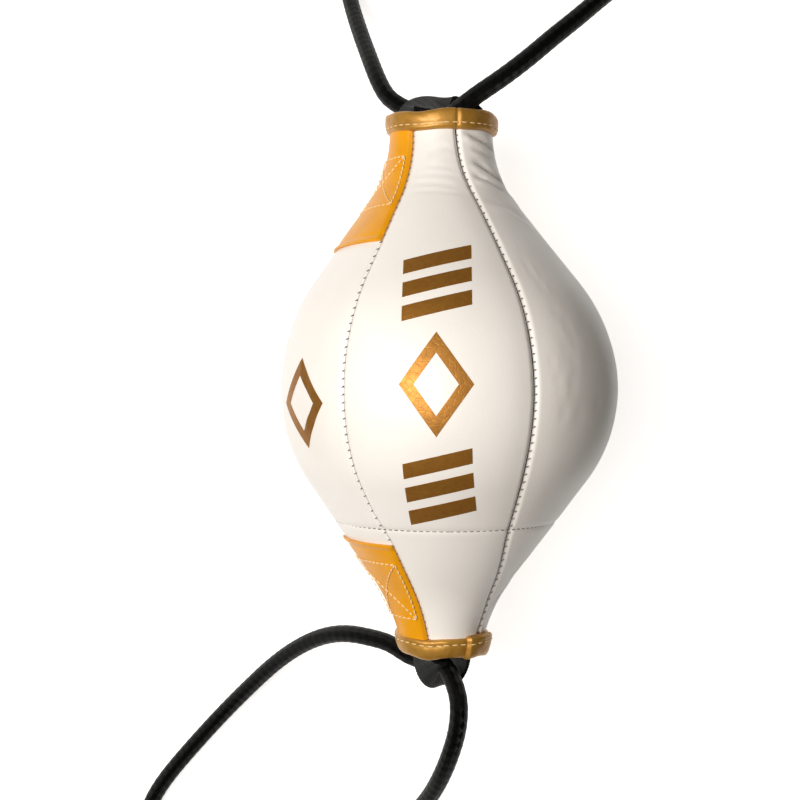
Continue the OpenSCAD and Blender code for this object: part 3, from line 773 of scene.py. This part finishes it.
for end, side, mouth, out, flare, near_drop in (
    ("top", 1, top_len, 8 * MM, 5 * MM, 9 * MM), ("low", -1, -low_len, 17 * MM, 6 * MM, 12 * MM)
):
    foot = mouth + side * binding_t
    line = []
    for k in range(18):
        y = foot - side * 60 * MM * (1 - k / 18)
        line.append((leg_reach(y), y, 0.0))
    for k in range(41):
        a = math.pi * k / 40
        line.append((leg_reach(foot) * math.cos(a), foot + side * out * math.sin(a), math.sin(a)))
    for k in reversed(range(18)):
        y = foot - side * 60 * MM * (1 - k / 18)
        line.append((-leg_reach(y), y, 0.0))
    bpy.ops.object.select_all(action="DESELECT")
    bpy.ops.mesh.primitive_grid_add(x_subdivisions=40, y_subdivisions=260, size=2)
    loop = bpy.context.object
    loop.name = loop.data.name = f"loop_{end}_webbing"
    turn = math.radians(loop_turn)
    towards_right = Vector((math.sin(turn), 0, math.cos(turn)))
    towards_far = Vector((math.cos(turn), 0, -math.sin(turn)))
    travelled = [0.0]
    for a, b in zip(line, line[1:]):
        travelled.append(travelled[-1] + math.hypot(b[0] - a[0], b[1] - a[1]))
    places = []
    for vertex in loop.data.vertices:
        want = (vertex.co.y + 1) / 2 * travelled[-1]
        i = max(k for k in range(len(line) - 1) if travelled[k] <= want + 1e-9)
        share = (want - travelled[i]) / (travelled[i + 1] - travelled[i])
        a, b = line[i], line[i + 1]
        reach, y, arch = (a[k] + (b[k] - a[k]) * share for k in range(3))
        w = vertex.co.x * webbing_w / 2
        y += side * flare * arch * ((vertex.co.x + 1) / 2) ** 1.4
        y -= side * near_drop * arch * ease(reach, 3 * MM, -2 * MM) * ((1 - vertex.co.x) / 2) ** 1.2
        places.append((want / rib_pitch, w / rib_pitch))
        vertex.co = Vector((0, belly_y + y, belly_r)) + towards_right * reach + towards_far * w
    layer = loop.data.uv_layers.get("UVMap") or loop.data.uv_layers[0]
    layer.name = "weave"
    for data in loop.data.loops:
        layer.data[data.index].uv = places[data.vertex_index]
    bpy.ops.object.mode_set(mode="EDIT")
    bpy.ops.mesh.select_all(action="SELECT")
    bpy.ops.mesh.normals_make_consistent(inside=False)
    bpy.ops.object.mode_set(mode="OBJECT")
    normals = [v.normal.copy() for v in loop.data.vertices]
    for vertex, normal, (rib, column) in zip(loop.data.vertices, normals, places):
        vertex.co += normal * 0.16 * MM * math.cos(math.tau * rib) * math.cos(math.pi * column)
    wall = loop.modifiers.new("wall", "SOLIDIFY")
    wall.thickness = webbing_t
    wall.offset = 0
    bpy.ops.object.modifier_apply(modifier="wall")
    edge = loop.modifiers.new("edge", "BEVEL")
    edge.width = 0.6 * MM
    edge.segments = 2
    edge.limit_method = "ANGLE"
    edge.angle_limit = math.radians(60)
    bpy.ops.object.modifier_apply(modifier="edge")
    bpy.ops.object.shade_smooth_by_angle(angle=math.radians(50))
    loop.data.materials.append(black_webbing)
    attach(loop, "bag")
    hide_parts(f"loop_{end}")


# ---------------------------------------------------------------- Lining and bladder
# Black cotton lining sewn in behind the leather, and the rubber bladder with
# its valve, which fills the belly. Only the lining shows: inside the mouths,
# and through the seam gaps, where its near-black is painted shade in the seams.
lining_cloth, tree, shader = start_material("cotton_lining_and_painted_seam_shade")
place = add_node(tree, "ShaderNodeTexCoord")
weave = add_node(
    tree, "ShaderNodeTexWave", {"bands_direction": "Y"}, Vector=place.outputs["Object"], Scale=1 / (4 * MM),
    Distortion=1.5, Detail=2.0,
)
# Near-black cloth: where it shows through the seam gaps, it is painted shade in the seams.
colour = add_node(
    tree, "ShaderNodeMix", {"data_type": "RGBA"},
    Factor=weave.outputs[0], _6=linear("#1A1A1C"), _7=linear("#2C2C2E"),
)
tree.links.new(colour.outputs[2], shader.inputs["Base Color"])
bump = add_node(tree, "ShaderNodeBump", Height=weave.outputs[0], Strength=0.4, Distance=0.15 * MM)
tree.links.new(bump.outputs[0], shader.inputs["Normal"])
shader.inputs["Roughness"].default_value = 0.85

bpy.ops.object.select_all(action="DESELECT")
bpy.ops.mesh.primitive_cylinder_add(vertices=96, radius=1, depth=2, end_fill_type="NOTHING")
lining = bpy.context.object
lining.name = lining.data.name = "lining_cloth"
bpy.ops.object.mode_set(mode="EDIT")
bpy.ops.mesh.select_all(action="SELECT")
bpy.ops.mesh.subdivide(number_cuts=1)
bpy.ops.object.mode_set(mode="OBJECT")
slices = 60
for cut in range(1, slices):
    bpy.ops.object.mode_set(mode="EDIT")
    bpy.ops.mesh.select_all(action="SELECT")
    bpy.ops.mesh.bisect(plane_co=(0, 0, -1 + 2 * cut / slices), plane_no=(0, 0, 1))
    bpy.ops.object.mode_set(mode="OBJECT")
for vertex in lining.data.vertices:
    turn = math.degrees(math.atan2(vertex.co.x, vertex.co.y))
    y = -low_len + (vertex.co.z + 1) / 2 * (low_len + top_len)
    vertex.co = bag_point(turn, y, -wall_t - 0.2 * MM)
bpy.ops.object.mode_set(mode="EDIT")
bpy.ops.mesh.select_all(action="SELECT")
bpy.ops.mesh.normals_make_consistent(inside=False)
bpy.ops.object.mode_set(mode="OBJECT")
wall = lining.modifiers.new("wall", "SOLIDIFY")
wall.thickness = 0.5 * MM
wall.offset = -1
bpy.ops.object.modifier_apply(modifier="wall")
bpy.ops.object.shade_smooth_by_angle(angle=math.radians(50))
lining.data.materials.append(lining_cloth)
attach(lining, "bag")
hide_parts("lining")

# Moulded butyl rubber: matt black with a bloom that greys it in patches.
butyl, tree, shader = start_material("moulded_butyl_rubber")
place = add_node(tree, "ShaderNodeTexCoord")
bloom = add_node(
    tree, "ShaderNodeTexNoise", Vector=place.outputs["Object"], Scale=1 / (20 * MM), Detail=5.0, Roughness=0.6
)
colour = add_node(
    tree, "ShaderNodeMix", {"data_type": "RGBA"},
    Factor=bloom.outputs[0], _6=linear("#1B1B1C"), _7=linear("#3A3A3B"),
)
tree.links.new(colour.outputs[2], shader.inputs["Base Color"])
shader.inputs["Roughness"].default_value = 0.7
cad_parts["bladder_valve"].data.materials.clear()
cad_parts["bladder_valve"].data.materials.append(butyl)

# The bladder is blown up inside the lining, so it leans as the leather does.
bladder_mid, bladder_half = 4 * MM, 104 * MM
bladder_gap, bladder_t = 1.2 * MM, 1.6 * MM
bpy.ops.object.select_all(action="DESELECT")
bpy.ops.mesh.primitive_uv_sphere_add(segments=96, ring_count=64, radius=1)
bladder = bpy.context.object
bladder.name = bladder.data.name = "bladder_rubber"
for vertex in bladder.data.vertices:
    share = vertex.co.z
    turn = math.degrees(math.atan2(vertex.co.x, vertex.co.y))
    y = bladder_mid + bladder_half * share
    full_r = bag_radius(y) - wall_t - bladder_gap
    closing = full_r * (1 - math.sqrt(max(0.0, 1 - share**6)))
    vertex.co = bag_point(turn, y, -wall_t - bladder_gap - closing)
bpy.ops.object.mode_set(mode="EDIT")
bpy.ops.mesh.select_all(action="SELECT")
bpy.ops.mesh.normals_make_consistent(inside=False)
bpy.ops.object.mode_set(mode="OBJECT")
rubber = bladder.modifiers.new("rubber", "SOLIDIFY")
rubber.thickness = bladder_t
rubber.offset = -1
bpy.ops.object.modifier_apply(modifier="rubber")
bpy.ops.object.shade_smooth_by_angle(angle=math.radians(50))
bladder.data.materials.append(butyl)
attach(bladder, "bag")
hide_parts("bladder")


# ---------------------------------------------------------------- Foil print
# Hot-stamped gold foil on the front gore and the one to its left. The design
# is plain geometry: slanted bars with a ring of four bars among them, and a
# smaller ring like it. The foil is a tenth of a millimetre thick and lies on the
# grain.
foil_gold, tree, shader = start_material("hot_stamped_gold_foil")
place = add_node(tree, "ShaderNodeTexCoord")
worn = add_node(
    tree, "ShaderNodeTexNoise", Vector=place.outputs["Object"], Scale=1 / (3 * MM), Detail=6.0, Roughness=0.7
)
colour = add_node(
    tree, "ShaderNodeMix", {"data_type": "RGBA"},
    Factor=worn.outputs[0], _6=linear("#C08434"), _7=linear("#86561A"),
)
tree.links.new(colour.outputs[2], shader.inputs["Base Color"])
crackle = add_node(
    tree, "ShaderNodeTexVoronoi", {"feature": "DISTANCE_TO_EDGE"}, Vector=place.outputs["Object"],
    Scale=1 / (3.5 * MM),
)
cracks = add_node(tree, "ShaderNodeMapRange", Value=crackle.outputs["Distance"], From_Max=0.06)
bump = add_node(tree, "ShaderNodeBump", Height=cracks.outputs[0], Strength=0.25, Distance=0.15 * MM)
tree.links.new(bump.outputs[0], shader.inputs["Normal"])
dull = add_node(tree, "ShaderNodeMapRange", Value=worn.outputs[0], To_Min=0.36, To_Max=0.55)
tree.links.new(dull.outputs[0], shader.inputs["Roughness"])
shader.inputs["Metallic"].default_value = 0.6


def foil_patch(gore, corners, points, faces, across=14, along=10):
    """Adds a four-cornered foil shape. Corners are (mm right of the gore's middle, mm from the belly)."""
    base = len(points)
    for j in range(along + 1):
        for i in range(across + 1):
            s, t = i / across, j / along
            x_mm, y_mm = (
                (corners[0][k] * (1 - s) + corners[1][k] * s) * (1 - t)
                + (corners[3][k] * (1 - s) + corners[2][k] * s) * t
                for k in range(2)
            )
            y = y_mm * MM
            low, high = gore_edges(gore, y)
            middle, half = (low + high) / 2, (high - low) / 2
            turn = middle + math.degrees(x_mm * MM / bag_radius(y))
            u = (turn - middle) / half
            points.append(bag_point(turn, y, leather_lift(gore, u, turn, y) + 0.1 * MM))
    row = across + 1
    for j in range(along):
        for i in range(across):
            a = base + j * row + i
            faces.append((a, a + 1, a + row + 1, a + row))


points, faces = [], []
bar_half, bar_h, slant = 17, 7.5, 8
for centre in (64, 52, 40, -36, -48, -60):
    foil_patch(
        0,
        [(-bar_half, centre - bar_h / 2 - slant / 2), (bar_half, centre - bar_h / 2 + slant / 2),
         (bar_half, centre + bar_h / 2 + slant / 2), (-bar_half, centre + bar_h / 2 - slant / 2)],
        points, faces,
    )
outer, inner = 25, 15
ring_mid = 2
tips = [(0, 1), (1, 0), (0, -1), (-1, 0)]
for k in range(4):
    (ax, ay), (bx, by) = tips[k], tips[(k + 1) % 4]
    foil_patch(
        0,
        [(inner * ax * 0.72, ring_mid + inner * ay), (inner * bx * 0.72, ring_mid + inner * by),
         (outer * bx * 0.72, ring_mid + outer * by), (outer * ax * 0.72, ring_mid + outer * ay)],
        points, faces, 16, 8,
    )
middle_x, middle_y, hole = 15, -7, 0.62
corners = [(0, 23), (20, 0), (0, -23), (-20, 0)]
for k in range(4):
    (ax, ay), (bx, by) = corners[k], corners[(k + 1) % 4]
    foil_patch(
        5,
        [(middle_x + ax * hole, middle_y + ay * hole), (middle_x + bx * hole, middle_y + by * hole),
         (middle_x + bx, middle_y + by), (middle_x + ax, middle_y + ay)],
        points, faces, 14, 6,
    )
foil = link_mesh("foil_print", points, faces)
bpy.ops.object.select_all(action="DESELECT")
foil.select_set(True)
bpy.context.view_layer.objects.active = foil
bpy.ops.object.mode_set(mode="EDIT")
bpy.ops.mesh.select_all(action="SELECT")
bpy.ops.mesh.normals_make_consistent(inside=False)
bpy.ops.object.mode_set(mode="OBJECT")
wall = foil.modifiers.new("wall", "SOLIDIFY")
wall.thickness = 0.12 * MM
wall.offset = 0
bpy.ops.object.modifier_apply(modifier="wall")
bpy.ops.object.shade_smooth_by_angle(angle=math.radians(40))
foil.data.materials.append(foil_gold)
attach(foil, "bag")


# ---------------------------------------------------------------- Clamps and hooks
# Nickel-plated steel: the clamps are crimped on the cord's ends, and each
# hook turns on a rivet. Plating is bright with fine handling scratches.
plated, tree, shader = start_material("nickel_plated_steel")
place = add_node(tree, "ShaderNodeTexCoord")
haze = add_node(
    tree, "ShaderNodeTexNoise", Vector=place.outputs["Object"], Scale=1 / (6 * MM), Detail=6.0, Roughness=0.7
)
dull = add_node(tree, "ShaderNodeMapRange", Value=haze.outputs[0], To_Min=0.14, To_Max=0.38)
tree.links.new(dull.outputs[0], shader.inputs["Roughness"])
scratches = add_node(
    tree, "ShaderNodeTexNoise", Vector=place.outputs["Object"], Scale=1 / (0.8 * MM), Detail=3.0
)
bump = add_node(tree, "ShaderNodeBump", Height=scratches.outputs[0], Strength=0.12, Distance=0.05 * MM)
tree.links.new(bump.outputs[0], shader.inputs["Normal"])
shader.inputs["Base Color"].default_value = linear("#C9C7C2")
shader.inputs["Metallic"].default_value = 1.0

# Spring steel wire: oil-blackened, darker and less bright than the plating.
spring_steel, tree, shader = start_material("oiled_spring_steel")
place = add_node(tree, "ShaderNodeTexCoord")
haze = add_node(tree, "ShaderNodeTexNoise", Vector=place.outputs["Object"], Scale=1 / (1.5 * MM), Detail=4.0)
dull = add_node(tree, "ShaderNodeMapRange", Value=haze.outputs[0], To_Min=0.3, To_Max=0.5)
tree.links.new(dull.outputs[0], shader.inputs["Roughness"])
shader.inputs["Base Color"].default_value = linear("#77746F")
shader.inputs["Metallic"].default_value = 1.0
for end in ("top", "low"):
    for part in ("clamp", "swivel_rivet", "hook", "gate", "gate_pin", "gate_spring"):
        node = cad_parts[f"{part}_{end}"]
        node.data.materials.clear()
        node.data.materials.append(spring_steel if part == "gate_spring" else plated)


# ---------------------------------------------------------------- Floor and light
# A white floor that covers the view and the cords, in a dim warm room. Two
# large soft lights stand high on the left, and nothing lights the right side,
# so it falls off to a dark warm grey.
bpy.ops.object.select_all(action="DESELECT")
bpy.ops.mesh.primitive_plane_add(size=1, location=(camera.location.x, 0, 0))
floor = bpy.context.object
floor.name = "floor"
floor.scale = (0.54, 1.2, 1)
floor_white, tree, shader = start_material("white_floor")
place = add_node(tree, "ShaderNodeTexCoord")
tone = add_node(tree, "ShaderNodeTexNoise", Vector=place.outputs["Object"], Scale=3.0, Detail=2.0)
colour = add_node(
    tree, "ShaderNodeMix", {"data_type": "RGBA"},
    Factor=tone.outputs[0], _6=linear("#CACACA"), _7=linear("#C6C6C6"),
)
tree.links.new(colour.outputs[2], shader.inputs["Base Color"])
shader.inputs["Roughness"].default_value = 0.9
shader.inputs["Emission Color"].default_value = (1, 0.985, 0.96, 1)
shader.inputs["Emission Strength"].default_value = 0.82
floor.data.materials.append(floor_white)

for name, location, size, power in (
    ("key", (-0.70, 0.1, 1.08), 0.5, 8.5),
    ("high_key", (-0.38, 0.0, 1.24), 0.5, 8.5),
):
    light_data = bpy.data.lights.new(name, "AREA")
    light_data.size = size
    light_data.energy = power
    light_data.color = (1.0, 0.985, 0.96)
    light = bpy.data.objects.new(name, light_data)
    light.location = location
    light.rotation_euler = (Vector((0, 0, axis_z)) - Vector(location)).to_track_quat("-Z", "Y").to_euler()
    scene.collection.objects.link(light)
world = bpy.data.worlds.new("studio")
world.use_nodes = True
world.node_tree.nodes["Background"].inputs["Color"].default_value = (1.0, 0.9, 0.78, 1)
world.node_tree.nodes["Background"].inputs["Strength"].default_value = 0.05
scene.world = world
scene.view_settings.view_transform = "Standard"
